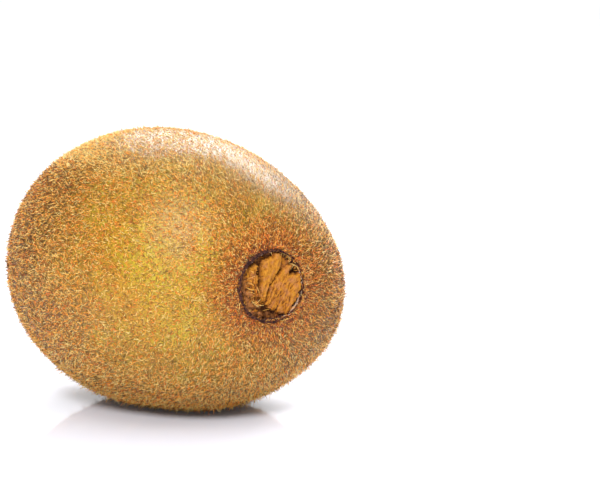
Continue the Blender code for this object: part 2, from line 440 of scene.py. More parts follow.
def skin_material(look):
    """Olive and golden skin with brown flecks and a purple brown mark, rusty round the scar, dark in it, and
    olive brown away from the cheek, partly the skin's own colour and partly painted shade.
    """
    nodes = Nodes("skin")
    place = nodes.place()
    scar = nodes.attribute("scar_distance")
    patches = nodes.spread(nodes.noise(place, 90.0), 0.40, 0.60)
    ground = nodes.mix(patches, look.green, look.gold)
    # Olive brown away from the cheek: partly the skin's own colour, partly painted shade where the fruit
    # turns away from the front light.
    drift = nodes.shaken(nodes.away(place, look.cheek), nodes.noise(place, 45.0), 0.006)
    ground = nodes.mix(nodes.spread(drift, 0.009, 0.028), ground, look.bronze_and_shade)
    mark = nodes.shaken(nodes.away(place, look.bruise_place), nodes.noise(place, 380.0), 0.002)
    ground = nodes.mix(nodes.spread(mark, 0.0022, 0.0045, 0.7, 0.0), ground, look.bruise)
    mottle = nodes.spread(nodes.noise(place, 260.0), 0.45, 0.75, 0.0, 0.5)
    ground = nodes.mix(mottle, ground, look.brown)
    flecks = nodes.spread(nodes.noise(place, 3400.0, 2.0, 0.7), 0.46, 0.58, 0.0, 0.8)
    ground = nodes.mix(flecks, ground, look.brown)
    ragged = nodes.shaken(scar, nodes.noise(place, 450.0, 3.0, 0.7), 0.0010)
    ground = nodes.mix(nodes.spread(ragged, 0.0074, 0.0128, 0.92, 0.0), ground, look.halo)
    ground = nodes.mix(nodes.spread(scar, 0.0067, 0.0062), ground, look.pit)
    fine = nodes.noise(place, 2600.0, 3.0, 0.7)
    dull = nodes.spread(scar, 0.0078, 0.0066, 0.0, 0.85)
    roughness = nodes.math("MAXIMUM", nodes.spread(fine, 0.3, 0.7, 0.26, 0.42), dull)
    return nodes.finish(ground, roughness, 0.4, fine, 0.00020)


def wood_material(look):
    """Split wood: its own shade from dark through amber to pale, with streaks along the grain."""
    nodes = Nodes("wood")
    grain = nodes.add("ShaderNodeUVMap", uv_map="Grain").outputs["UV"]
    stretched = nodes.add("ShaderNodeMapping", {"Vector": grain, "Scale": (1.0, 0.28, 1.0)})
    streaks = nodes.noise(stretched.outputs["Vector"], 3600.0, 4.0, 0.75)
    level = nodes.shaken(nodes.attribute("shade"), streaks, 0.60)
    level = nodes.shaken(level, nodes.noise(grain, 2300.0), 0.24)
    colour = nodes.mix(nodes.spread(level, 0.15, 0.5), look.dark, look.amber)
    colour = nodes.mix(nodes.spread(level, 0.5, 0.9), colour, look.pale)
    blush = nodes.spread(nodes.noise(grain, 700.0), 0.48, 0.62, 0.0, 0.70)
    return nodes.finish(nodes.mix(blush, colour, look.rosy), 0.6, 0.12, streaks, 0.00012, 0.6)


def paper_material(look):
    """Dry membrane with darker torn flecks."""
    nodes = Nodes("paper")
    flecks = nodes.spread(nodes.noise(nodes.place(), 2500.0), 0.45, 0.65)
    return nodes.finish(nodes.mix(flecks, look.paper, look.amber), 0.6, 0.5, flecks, 0.0001)


def collar_material(look):
    """Purple brown cork with rusty and black crumbs."""
    nodes = Nodes("collar")
    crumbs = nodes.noise(nodes.place(), 2400.0, 4.0, 0.75)
    colour = nodes.mix(nodes.spread(crumbs, 0.42, 0.52), look.scar, look.cork)
    colour = nodes.mix(nodes.spread(crumbs, 0.56, 0.62, 0.0, 0.8), colour, look.brown)
    return nodes.finish(colour, 0.85, 0.1, crumbs, 0.0002, 0.8)


def blossom_material(look):
    """Brown withered tissue, darkest where its noise is high."""
    nodes = Nodes("blossom")
    ridges = nodes.noise(nodes.place(), 1800.0, 4.0, 0.7)
    colour = nodes.mix(nodes.spread(ridges, 0.35, 0.6), look.brown, look.scar)
    return nodes.finish(colour, 0.8, 0.12, ridges, 0.0002, 0.8)


def hair_material(name, look):
    """Each hair's own shade comes from its place across the map, and the root is darker than the tip, partly
    the hair's own colour and partly painted shade where the hairs crowd against the skin.
    """
    nodes = Nodes(name)
    hair = nodes.add("ShaderNodeUVMap", uv_map=BAKE_MAP).outputs["UV"]
    parts = nodes.add("ShaderNodeSeparateXYZ", {"Vector": hair}).outputs
    shades = nodes.add("ShaderNodeValToRGB", {"Fac": parts["X"]})
    stops = shades.color_ramp.elements
    stops[0].color = (*look.umber, 1.0)
    stops[1].color = (*look.straw, 1.0)
    for position, colour in ((0.12, look.umber), (0.28, look.rust), (0.58, look.golden)):
        stops.new(position).color = (*colour, 1.0)
    # Roots darkened towards umber: partly painted shade between the hairs at the skin.
    root = nodes.spread(parts["Y"], 0.0, 0.4, 0.85, 0.0)
    return nodes.finish(nodes.mix(root, shades.outputs["Color"], look.umber), 0.38, 0.4)


def add_skin(kiwi):
    """The body's closed surface with its scar, with rows set closely where the scar's walls are."""
    shape = kiwi.shape
    cap_edge, cap_rows, body_rows, columns = 0.32, 44, 112, 240
    cap = np.linspace(0.006, cap_edge, cap_rows)
    body = np.linspace(cap_edge, math.pi - 0.01, body_rows)[1:]
    rings = skin_points(shape, *np.meshgrid(np.append(cap, body), full_turn(columns), indexing="ij"))
    ends = skin_points(shape, np.array([0.0, math.pi]), np.zeros(2))
    local = at_stalk(shape, np.concatenate([ends[:1], rings.reshape(-1, 3), ends[1:]]))
    distance = np.where(local[:, 0] > -shape.stalk_length, np.hypot(local[:, 1], local[:, 2]), FAR_OFF)
    material = skin_material(kiwi.skin)
    mesh = add_rings("fruit_skin", laid(shape, rings), laid(shape, ends), material)
    set_values(mesh, "scar_distance", distance)


def lattice_noise(x, y, seed):
    """Smooth noise from 0 to 1: a lattice of seeded numbers, blended by 3t^2 - 2t^3 between its points."""
    size = 256
    table = np.random.default_rng(seed).random((size, size))
    column, row = np.floor(x).astype(int), np.floor(y).astype(int)
    tx, ty = smooth_step(x - column), smooth_step(y - row)
    near, far = column % size, (column + 1) % size
    low, high = row % size, (row + 1) % size
    below = table[near, low] * (1.0 - tx) + table[far, low] * tx
    above = table[near, high] * (1.0 - tx) + table[far, high] * tx
    return below * (1.0 - ty) + above * ty


def depth_inside(across, up, outline):
    """How far each place lies inside a closed outline: the distance to its nearest side, negative outside,
    where the sides that a ray crosses are counted to tell in from out."""
    nearest = np.full(across.shape, np.inf)
    inside = np.zeros(across.shape, bool)
    for (ax, ay), (bx, by) in zip(outline, np.roll(outline, -1, axis=0)):
        dx, dy = bx - ax, by - ay
        t = np.clip(((across - ax) * dx + (up - ay) * dy) / (dx * dx + dy * dy), 0.0, 1.0)
        nearest = np.minimum(nearest, np.hypot(across - ax - t * dx, up - ay - t * dy))
        crossing = (ay > up) != (by > up)
        inside ^= crossing & (across < ax + (up - ay) * dx / (dy if dy else 1e-9))
    return np.where(inside, nearest, -nearest)


# Each broken piece of the stalk: its outline's places across and up, height at its middle, slope across and
# up, the grain's angle in degrees, shade at its middle and the shade's slope across and up. Lengths are in
# millimetres.
PLANKS = (
    (
        (-4.4, 3.2, -3.7, 3.6, -3.0, 4.1, -2.45, 3.6, -2.35, 1.5, -2.3, -0.9, -3.0, -1.9, -4.2, -1.8,
         -5.0, -0.6, -5.15, 1.0, -4.9, 2.3),
        -0.45, (0.16, 0.02), 95.0, 0.50, (0.09, 0.08),
    ),
    (
        (-1.55, 4.5, -0.6, 4.7, 0.5, 5.0, 1.0, 5.75, 1.7, 5.3, 2.1, 4.2, 2.0, 2.9, 0.9, 1.7,
         -0.2, 0.3, -0.8, -1.1, -1.1, -2.7, -1.9, -2.6, -2.3, -1.6, -1.85, 0.3, -1.75, 2.2),
        0.30, (-0.10, 0.10), 82.0, 0.80, (-0.02, 0.02),
    ),
    (
        (2.9, 2.9, 3.9, 3.3, 4.3, 3.2, 3.9, 2.4, 3.7, 1.6, 4.6, 1.6, 5.85, 1.75, 6.0, 1.1, 5.95, -0.4,
         5.45, -1.9, 4.85, -3.2, 3.9, -4.5, 2.9, -5.2, 1.9, -4.9, 0.3, -4.2, -1.5, -3.0, -0.9, -2.6,
         -0.5, -1.2, 0.2, 0.3, 1.2, 1.6, 2.2, 2.4),
        0.05, (0.09, 0.03), 62.0, 0.66, (0.05, 0.03),
    ),
    (
        (1.7, 5.0, 2.6, 4.9, 3.7, 4.2, 4.2, 3.5, 2.9, 2.9, 2.1, 2.6, 1.6, 3.2),
        -0.45, (-0.05, 0.10), 70.0, 0.46, (0.0, 0.0),
    ),
    (
        (-5.0, -1.5, -3.2, -1.5, -2.3, -1.6, -1.6, -2.8, -1.9, -3.6, -3.4, -4.0, -4.6, -2.8),
        -0.85, (0.05, 0.05), 80.0, 0.22, (0.06, 0.0),
    ),
    (
        (-3.6, -3.4, -2.2, -3.7, -1.7, -4.3, -0.4, -5.2, 2.4, -4.8, 2.0, -5.3, -0.6, -5.5, -2.8, -4.6),
        -0.9, (0.0, -0.1), 20.0, 0.28, (0.0, 0.0),
    ),
)

# Hollows between the pieces, sunk and darkened with painted shade: across, up and size in millimetres.
HOLES = (
    (4.55, 2.6, 0.75),
    (-1.0, -4.35, 0.9),
    (0.1, -4.75, 0.7),
    (-2.05, 2.0, 0.5),
    (-2.05, 0.6, 0.5),
    (-2.1, -0.8, 0.5),
    (-1.9, 3.7, 0.6),
)


def sloped(level, slope, across, up, middle):
    """A plane at its level over the middle, rising by its slope across and up."""
    return level + slope[0] * (across - middle[0]) + slope[1] * (up - middle[1])


def stalk_relief(across, up):
    """The broken stalk's height, grain and shade at places given in millimetres. Over a rough dark floor,
    with painted shade in its hollows and in the moat at its edge, each piece stands where its outline holds
    it, with steep torn edges: its plane plus ridges of noise that is stretched along the grain, whose shade
    follows the ridges' height as painted shade in the grooves. A taller piece covers a lower one."""

    def speckle(scale, seed):
        """Noise of the same scale both ways."""
        return lattice_noise(across * scale, up * scale, seed)

    pit_level, pit_shade, shaded_moat_radius, edge_width, edge_slump = -1.15, 0.10, 5.0, 0.13, 0.22
    shaded_moat = ramp(np.hypot(across, up), shaded_moat_radius, 0.4)
    height = pit_level + 0.35 * speckle(3.0, 5) + 0.15 * speckle(11.0, 7)
    # Darker towards the scar's wall: painted shade in the moat.
    shade = pit_shade + 0.26 * speckle(5.0, 6) - 0.22 * shaded_moat
    for hole_across, hole_up, hole_size in HOLES:
        hole = np.exp(-((across - hole_across) ** 2 + (up - hole_up) ** 2) / hole_size**2)
        height = height - 0.9 * hole
        # Painted shade in each hollow.
        shade = shade - 0.5 * hole
    grain = np.stack([across, up], axis=-1)
    for number, (flat_outline, level, slope, angle, tone, tone_slope) in enumerate(PLANKS):
        outline = np.reshape(flat_outline, (-1, 2))
        middle = outline.mean(axis=0)
        run, side = rotated(across, up, -math.radians(angle))
        tear = 0.50 * (lattice_noise(side * 4.0, run * 1.6, 40 + number) - 0.5)
        tear = tear + 0.24 * (speckle(12.0, 50 + number) - 0.5)
        edge = depth_inside(across, up, outline) + tear
        drift = side + 0.5 * speckle(1.2, 55 + number)
        fibres = 0.30 * lattice_noise(drift * 3.6, run * 0.7, 60 + number)
        fibres = fibres + 0.16 * lattice_noise(drift * 9.0, run * 2.6, 70 + number)
        fibres = fibres + 0.14 * speckle(9.0, 75 + number)
        fibres = fibres + 0.06 * lattice_noise(drift * 22.0, run * 7.0, 80 + number) - 0.33
        plane = sloped(level, slope, across, up, middle)
        top = plane + fibres - edge_slump * np.exp(-np.maximum(edge, 0.0) / edge_slump)
        there = smooth_step(edge / edge_width + 0.5)
        # The shade follows the fibres' height: the grain's own tone, with painted shade in the grooves.
        tones = sloped(tone, tone_slope, across, up, middle) + 1.1 * fibres
        taller = there * (top > height - 0.3)
        height = height * (1.0 - taller) + top * taller
        shade = shade * (1.0 - taller) + tones * taller
        grain = np.where(taller[..., None] > 0.5, np.stack([side, run], axis=-1), grain)
    return height, shade, grain


def add_stalk(kiwi):
    """The stalk's remains as one closed piece. A square grid is pressed into a disc, x sqrt(1 - y^2 / 2) by
    y sqrt(1 - x^2 / 2), its height is the relief, and a cone down to one deep point closes it."""
    shape = kiwi.shape
    steps, rim_height, deepest = 168, -0.55, -2.35
    x, y = np.meshgrid(np.linspace(-1.0, 1.0, steps), np.linspace(-1.0, 1.0, steps), indexing="ij")
    reach = shape.scar_radius / MM - 0.02
    across = reach * x * np.sqrt(1.0 - 0.5 * y * y)
    up = reach * y * np.sqrt(1.0 - 0.5 * x * x)
    height, shade, grain = stalk_relief(across, up)
    height = np.where(np.hypot(across, up) > reach - 0.15, np.minimum(height, rim_height), height)
    local = MM * np.stack([height, across, up], axis=-1).reshape(-1, 3)
    centre = np.array([[deepest * MM, 0.0, 0.0]])
    points = from_axis(shape, shape.stalk_length, np.concatenate([local, centre]))
    number = np.arange(steps * steps).reshape(steps, steps)
    quads = np.stack([number[:-1, :-1], number[1:, :-1], number[1:, 1:], number[:-1, 1:]], axis=-1)
    loop = np.concatenate([number[:-1, 0], number[-1, :-1], number[:0:-1, -1], number[0, :0:-1]])
    fan = np.stack([np.roll(loop, -1), loop, np.full(len(loop), steps * steps)], axis=1)
    corners = np.concatenate([quads.ravel(), fan.ravel()])
    totals = np.repeat([4, 3], [(steps - 1) ** 2, len(fan)])
    uv = np.concatenate([MM * grain.reshape(-1, 2), np.zeros((1, 2))])[corners]
    material = wood_material(kiwi.stalk)
    mesh = add_piece("stalk_remains", points, corners, totals, uv, material, "Grain")
    set_values(mesh, "shade", np.append(shade.ravel(), 0.0))


# Each arc of the membrane: name, first and last angle in degrees, radius, row of the noise and size.
MEMBRANE = (
    ("paper_rim_top", 84.0, 136.0, 0.0059, 0.4, 0.55),
    ("paper_rim_low", -72.0, -20.0, 0.0060, 2.2, 0.55),
    ("paper_rim_side", -20.0, 24.0, 0.0061, 1.1, 0.45),
)


def add_rim(kiwi):
    """The papery membrane: arcs round the scar, each a flat strip of oval section that leans outwards, with a
    height that swells by sqrt(sin(pi s)) and noise, and a radius that wanders by noise."""
    shape = kiwi.shape
    material = paper_material(kiwi.stalk)
    rows, columns = 90, 10
    half_thickness, half_height, lift = 0.00010, 0.00040, 0.00012
    phase = full_turn(columns)
    s = np.linspace(0.0, 1.0, rows)[:, None]
    for name, start, stop, ring, noise_row, size in MEMBRANE:
        angle = np.radians(start + (stop - start) * s)
        swell = np.sin(math.pi * np.clip(s, 0.02, 0.98)) ** 0.5
        swell = swell * (0.45 + 0.75 * lattice_noise(14.0 * s, noise_row, 90))
        radius = ring + 0.0005 * (lattice_noise(9.0 * s, noise_row, 91) - 0.5)
        out = size * half_thickness * swell * np.cos(phase)
        rise = size * half_height * swell * np.sin(phase)
        local = round_axis(rise + lift, radius + out + 0.4 * rise, angle)
        ends = from_axis(shape, shape.stalk_length, local.mean(axis=1)[[0, -1]])
        add_rings(name, from_axis(shape, shape.stalk_length, local), ends, material)


def add_collar(kiwi):
    """The corky collar: a closed loop round the scar. Its section is an oval of uneven width and height, and
    its middle follows the rim on top of the skin's own collar."""
    shape = kiwi.shape
    rows, columns = 420, 12
    thinnest, thicker, highest = 0.00008, 0.00022, 0.00018
    angle = full_turn(rows)[:, None]
    phase = full_turn(columns)[None, :]

    def uneven(scale, seed):
        """Noise round the loop, without a seam."""
        x, y = 6.0 * np.cos(angle), 6.0 * np.sin(angle)
        return lattice_noise(scale * x + 40.0, scale * y + 40.0, seed)

    openness = 0.5 + 0.5 * np.cos(angle - OPEN_SIDE)
    half_width = thinnest + thicker * openness
    half_width = half_width * (0.55 + 0.9 * uneven(1.7, 36))
    ring = shape.scar_radius + 0.00012 * np.sin(2.0 * angle + 0.8) - thinnest + half_width
    ring = ring + 0.00025 * (uneven(2.6, 35) - 0.5)
    half_height = highest * (0.5 + uneven(5.0, 37))
    reach = ring + half_width * np.cos(phase)
    fine = 4000.0 * reach
    crumbs = 0.00016 * lattice_noise(fine * np.cos(angle) + 90.0, fine * np.sin(angle) + 90.0, 38)
    bed = scar_relief(shape, ring * np.cos(angle), ring * np.sin(angle))
    local = round_axis(bed + half_height * np.sin(phase) + crumbs, reach, angle)
    points = from_axis(shape, shape.stalk_length, local.reshape(-1, 3))
    row, column = (grid.ravel() for grid in np.meshgrid(np.arange(rows), np.arange(columns), indexing="ij"))
    row = np.stack([row, row + 1, row + 1, row], axis=1).ravel()
    column = np.stack([column, column, column + 1, column + 1], axis=1).ravel()
    corners = (row % rows) * columns + column % columns
    totals = np.full(rows * columns, 4)
    uv = np.stack([row / rows, column / columns], axis=1)
    add_piece("corky_collar", points, corners, totals, uv, collar_material(kiwi.skin))


# A hair's strip on the map: its width, where the darkest shade's strip starts and the room for the others.
STRIP_WIDTH = 0.004
STRIP_START = 0.003
STRIP_ROOM = 0.985
# No point of a hair lies lower than this.
LEAST_HEIGHT = 0.00002


def add_hairs(name, root, ways, lengths, radii, shades, material):
    """Closed hairs of three sides. A hair goes one equal step along each of its ways, with one point at the
    root, a ring of three points at each bend and one point at the tip. Its map is a narrow strip at its
    shade, from its root to its tip."""
    count, steps = len(root), len(ways)
    spine = [root]
    for way in ways:
        spine.append(spine[-1] + (lengths / steps)[:, None] * way)
    helper = np.where(np.abs(ways[0][:, 2:3]) < 0.8, [[0.0, 0.0, 1.0]], [[1.0, 0.0, 0.0]])
    across = np.cross(ways[0], helper)
    phase = (np.arange(3) * math.tau / 3.0)[:, None]
    rings = []
    for number in range(1, steps):
        way = unit(ways[number - 1] + ways[number])
        across = unit(across - way * np.sum(across * way, axis=1, keepdims=True))
        spoke = across[:, None] * np.cos(phase) + np.cross(way, across)[:, None] * np.sin(phase)
        thin = 1.0 - 0.45 * ((number - 1) / steps) ** 2
        rings.append(spine[number][:, None] + thin * radii[:, None, None] * spoke)
    points = np.concatenate([root[:, None], *rings, spine[-1][:, None]], axis=1)
    points[..., 2] = np.maximum(points[..., 2], LEAST_HEIGHT)
    last = 3 * (steps - 1)
    foot = np.array([(0, 2, 1), (0, 3, 2), (0, 1, 3)])
    side = np.array([(1, 2, 5), (1, 5, 4), (2, 3, 6), (2, 6, 5), (3, 1, 4), (3, 4, 6)])
    tip = np.array([(last - 2, last - 1, last + 1), (last - 1, last, last + 1), (last, last - 2, last + 1)])
    template = np.concatenate([foot, *[side + 3 * number for number in range(steps - 2)], tip])
    corners = (np.arange(count)[:, None, None] * (last + 2) + template).reshape(-1)
    middle = STRIP_WIDTH / 2.0
    across_map = np.concatenate([[middle], np.tile([0.0, middle, STRIP_WIDTH], steps - 1), [middle]])
    bends = np.repeat(np.arange(1, steps) / steps, 3) + np.tile([0.0, 0.01, 0.0], steps - 1)
    along_map = np.concatenate([[0.02], bends, [0.98]])
    u = STRIP_START + STRIP_ROOM * shades[:, None] + across_map
    uv = np.stack([u, np.broadcast_to(along_map, u.shape)], axis=-1).reshape(-1, 2)[corners]
    totals = np.full(count * len(template), 3)
    add_piece(name, points.reshape(-1, 3), corners, totals, uv, material)


# Loose fibres of the broken stalk: start and end (across, up, height), bow out of the scar and bow to the
# side, in millimetres.
FIBRES = (
    ((3.7, 3.5, -0.3), (5.6, 2.0, -0.3), 0.55, 0.45),
    ((-3.4, -2.4, -0.7), (-1.8, -3.1, -0.4), 0.40, -0.20),
    ((-3.1, -3.2, -0.8), (-2.0, -2.3, -0.5), 0.45, 0.20),
    ((-3.6, -2.9, -0.8), (-2.3, -2.7, -0.5), 0.35, 0.30),
    ((-2.6, -3.4, -0.8), (-1.2, -3.3, -0.4), 0.30, 0.15),
    ((-2.9, -2.2, -0.6), (-2.4, -3.4, -0.8), 0.35, 0.15),
    ((-4.6, 0.9, -0.6), (-3.2, 0.3, -0.2), 0.30, 0.20),
    ((-4.7, 0.2, -0.6), (-3.1, -0.5, -0.2), 0.30, -0.20),
    ((-4.4, 1.7, -0.6), (-3.1, 1.5, -0.2), 0.25, 0.15),
    ((-4.5, -0.7, -0.7), (-2.9, -1.3, -0.3), 0.30, 0.20),
    ((-2.7, 0.2, -0.3), (-2.1, -1.2, -0.4), 0.30, -0.10),
    ((-3.9, -1.9, -0.8), (-2.8, -1.5, -0.4), 0.30, 0.10),
    ((-4.3, 2.9, -0.7), (-3.0, 2.6, -0.3), 0.25, 0.10),
    ((-1.0, -3.6, -0.6), (0.2, -3.9, -0.2), 0.25, 0.10),
)


def add_fibres(kiwi):
    """Loose fibres: thin tubes along start + s (end - start) + 4 s (1 - s) bow, each with a second one beside
    it, moved and turned a little at random."""
    shape = kiwi.shape
    rng = np.random.default_rng(FIBRE_SEED)
    starts = np.array([start for start, end, out, side in FIBRES])
    ends = np.array([end for start, end, out, side in FIBRES])
    bows = np.tile([(out, side) for start, end, out, side in FIBRES], (2, 1))
    starts = np.concatenate([starts, starts + rng.normal(0.0, 0.30, starts.shape) * (1, 1, 0.2)])
    ends = np.concatenate([ends, ends + rng.normal(0.0, 0.35, ends.shape) * (1, 1, 0.2)])
    s = np.linspace(0.0, 1.0, 8)[:, None, None]
    away = ends - starts
    sideways = unit(np.stack([-away[:, 1], away[:, 0], np.zeros(len(away))], axis=1))
    bow = bows[:, 1:] * sideways + bows[:, :1] * np.array([0.0, 0.0, 1.0])
    path = starts + s * away + 4.0 * s * (1.0 - s) * bow
    path = from_axis(shape, shape.stalk_length, MM * path[..., [2, 0, 1]])
    stretches = np.diff(path, axis=0)
    lengths = np.linalg.norm(stretches, axis=-1).sum(axis=0)
    radii = rng.uniform(0.000030, 0.000050, len(lengths))
    shades = np.clip(rng.normal(0.66, 0.16, len(lengths)), 0.3, 0.92)
    material = hair_material("fibres", kiwi.down)
    add_hairs("loose_fibres", path[0], list(unit(stretches)), lengths, radii, shades, material)


def add_blossom(kiwi):
    """The dry tip: a short cone with 14 ridges round it, whose radius shrinks by s^0.7, closed over its
    sunken end."""
    shape = kiwi.shape
    rows, columns = 26, 84
    foot_radius, taper, ridges, height, sunken_from = 0.0031, 0.0019, 14.0, 0.0016, 0.8
    s = np.linspace(0.0, 1.0, rows)[:, None]
    phase = full_turn(columns)[None, :]
    radius = foot_radius - taper * s**0.7
    radius = np.where(s > sunken_from, radius * (1.0 - (s - sunken_from) * 4.6), radius)
    radius = radius * (1.0 + 0.10 * np.sin(ridges * phase + 2.0 * s) + 0.05 * np.sin(5.0 * phase))
    rise = 0.0006 - height * np.sin(math.pi / 2 * np.minimum(s / sunken_from, 1.0))
    rise = rise + 0.0005 * ramp(s, sunken_from, 0.2) + 0.00008 * np.sin(9.0 * phase + 6.0 * s)
    rings = from_axis(shape, -shape.blossom_length, round_axis(rise, radius, phase))
    ends = from_axis(shape, -shape.blossom_length, np.array([[0.0009, 0.0, 0.0], [-0.0006, 0.0, 0.0]]))
    add_rings("blossom_tip", rings, ends, blossom_material(kiwi.skin))


def add_styles(kiwi):
    """The withered styles: a tuft of dark bent threads that stand out from the blossom tip's rim, each
    leaning further outwards at every step."""
    shape = kiwi.shape
    rng = np.random.default_rng(STYLE_SEED)
    turned = axis_frame(shape, -shape.blossom_length)[0]
    count, tuft_radius, bends = 90, 0.0024, 4
    angle = rng.uniform(0.0, math.tau, count)
    reach = tuft_radius * np.sqrt(rng.uniform(0.15, 1.0, count))
    lean = rng.uniform(0.1, 1.1, count)
    root = round_axis(rng.uniform(-0.0003, 0.0002, count), reach, angle)
    ways = []
    for number in range(bends):
        heading = angle + number * rng.normal(0.0, 0.4, count)
        over = lean + 0.25 * number
        ways.append(turned_in(shape, round_axis(-np.cos(over), np.sin(over), heading) @ turned.T))
    lengths = rng.uniform(0.0010, 0.0021, count)
    radii = rng.uniform(0.00006, 0.00013, count)
    shades = np.clip(rng.normal(0.18, 0.12, count), 0.0, 0.45)
    root = from_axis(shape, -shape.blossom_length, root)
    material = hair_material("styles", kiwi.down)
    add_hairs("withered_styles", root, ways, lengths, radii, shades, material)


def steps_along(points_of, shape, polar, around):
    """How a surface's place changes down from the stalk end and sideways round it, over a small step each."""
    step = 1e-3
    down = points_of(shape, polar + step, around) - points_of(shape, polar - step, around)
    side = points_of(shape, polar, around + step) - points_of(shape, polar, around - step)
    return down, side


def surface_frame(shape, polar, around):
    """The skin's place, its outward normal and two directions along it, from small steps either way."""
    place = skin_points(shape, polar, around)
    down, side = (unit(change) for change in steps_along(skin_points, shape, polar, around))
    normal = unit(np.cross(down, side))
    outwards = np.sign(np.sum(normal * place, axis=-1, keepdims=True))
    return place, normal * outwards, down, side


def scatter(kiwi, coat, rng):
    """One coat's roots, out of the evenly spread roots of every coat. Point n of a spiral stands at n golden
    angles round the axis and at the polar angle with the n-th share of the area times density before it.
    The points are then thinned, each time their running sum of density over the ring's mean passes a whole
    number, every fourth is taken, and each is moved a little."""
    total = len(COATS) * kiwi.down.hairs
    rows, columns, spare, most_move = 360, 360, 1.35, 0.0035
    polar = (np.arange(rows) + 0.5) * math.pi / rows
    around = (np.arange(columns) + 0.5) * math.tau / columns
    grid = np.meshgrid(polar, around, indexing="ij")
    area = np.linalg.norm(np.cross(*steps_along(body_points, kiwi.shape, *grid)), axis=-1)
    weight = area * crowding(kiwi, *grid)
    ring = weight.mean(axis=1)
    tries = int(spare * total)
    before = np.append(0.0, np.cumsum(ring)) / ring.sum()
    bounds = np.arange(rows + 1) * math.pi / rows
    root_polar = np.interp((np.arange(tries) + 0.5) / tries, before, bounds)
    root_around = (np.arange(tries) * GOLDEN_ANGLE) % math.tau
    row = np.minimum((root_polar / math.pi * rows).astype(int), rows - 1)
    column = (root_around / math.tau * columns).astype(int) % columns
    running = np.cumsum(weight[row, column] / np.maximum(ring[row], 1e-12))
    passed = np.floor(running * total / running[-1])
    kept = np.flatnonzero(np.diff(passed, prepend=0.0))[coat :: len(COATS)]
    moved = rng.uniform(-most_move, most_move, (2, len(kept)))
    return root_polar[kept] + moved[0], root_around[kept] + moved[1] / np.sin(root_polar[kept])


def scar_place(shape, polar, around):
    """Where a place on the skin lies in the scar's plane, across and up from the stalk's axis, and far off
    for the blossom half."""
    local = at_stalk(shape, body_points(shape, polar, around))
    front = polar < math.pi / 2
    return np.where(front, local[..., 1], FAR_OFF), np.where(front, local[..., 2], FAR_OFF)


def bare_side(across, up):
    """1 on the side of the scar where its dark ring lies open, 0 where the hair hangs over it, with a ragged
    change between."""
    angle = np.arctan2(up, across)
    ragged = 0.7 * lattice_noise(6.0 * angle, 0.0, 33) + 0.5 * lattice_noise(17.0 * angle, 0.0, 34)
    return np.clip(0.9 * np.cos(angle - OPEN_SIDE) + ragged - 0.1, 0.0, 1.0)


def rubbed_and_sheen(kiwi, place):
    """How much the hair is rubbed off, from 0 to 1: full where the direction from the fruit's middle is close
    to that of the rubbed side, and up to three quarters over the crown towards it. The same measure makes the
    hair paler there, as a painted sheen."""
    towards = unit(place - np.array(kiwi.shape.middle))
    facing = towards @ unit(np.array(kiwi.down.rubbed_sheen_side))
    side = ramp(facing, 0.70, 0.22)
    sheen_crown = 0.75 * ramp(towards[..., 2], 0.66, 0.16) * ramp(facing, 0.45, 0.25)
    return np.maximum(side, sheen_crown)


def from_cheek(kiwi, place):
    """How far a place is from the middle of the cheek."""
    return np.linalg.norm(place - np.array(kiwi.skin.cheek), axis=-1)


# Distances from the stalk's axis: the hair's edge, how much further out it is on the open side, how far out
# hair is dense over the ring and points over it, where the crowd round the scar starts and over what length
# it fades, and the rusty halo's radius, fade and widening.
BARE_RADIUS = 0.00585
OPEN_WIDENING = 0.00045
OVERHANG_RADIUS = 0.0069
OVER_RING_RADIUS = 0.0073
CROWD_START = 0.0060
CROWD_FADE = 0.0030
HALO_RADIUS = 0.0120
HALO_FADE = 0.0050
HALO_WIDENING = 0.006
# Under this height the fruit presses on the floor. Then the height of the underside, whose hair is paler as
# painted light bounced from the floor, and its depth.
PRESSED_HEIGHT = 0.0003
LOW_HEIGHT = 0.020
LOW_DEPTH = 0.015
# Start and width of each edge: the height of the crown, whose hair is paler as a painted sheen, and the
# distances from the cheek's middle at which hair thickens and at which it counts as far off, where more hairs
# are dark as painted shade.
SHEEN_CROWN_EDGE = (0.041, 0.005)
CHEEK_EDGE = (0.004, 0.018)
FAR_EDGE = (0.012, 0.020)
# A hair's lean from the skin, in radians, where it stands, lies and hangs over the ring, and the most of all.
STANDING_LEAN = (0.45, 0.95)
LYING_LEAN = (1.05, 1.50)
HANGING_LEAN = (0.35, 0.9)
MOST_LEAN = 1.62


def crowding(kiwi, polar, around):
    """How thickly the hair stands: none in the scar, 3.6 times as close at its edge and 2.5 more where it
    hangs over the ring, half as close on the rubbed side, under half on the cheek, and hardly any where the
    fruit presses on the floor."""
    across, up = scar_place(kiwi.shape, polar, around)
    radius = np.hypot(across, up)
    place = laid(kiwi.shape, body_points(kiwi.shape, polar, around))
    open_side = bare_side(across, up)
    overhang = 2.5 * (1.0 - open_side) * (radius < OVERHANG_RADIUS)
    crowd = 1.0 + overhang + 2.6 * np.exp(-np.maximum(radius - CROWD_START, 0.0) / CROWD_FADE)
    crowd = crowd - 0.50 * rubbed_and_sheen(kiwi, place)
    crowd = crowd - 0.55 * (1.0 - ramp(from_cheek(kiwi, place), *CHEEK_EDGE))
    in_scar = radius < BARE_RADIUS + OPEN_WIDENING * open_side
    return np.where(in_scar, 0.0, crowd) * np.where(place[..., 2] < PRESSED_HEIGHT, 0.02, 1.0)


# Each coat of hair: name, seed, middle shade and spread of the shades, from dark at 0 to straw at 1.
COATS = (
    ("bristles_one", 11, 0.73, 0.18),
    ("bristles_two", 12, 0.63, 0.20),
    ("bristles_three", 13, 0.48, 0.22),
    # The velvet's dark middle shade is partly its own colour and partly painted shade in the gaps between the
    # bristles.
    ("velvet", 21, 0.30, 0.22),
)


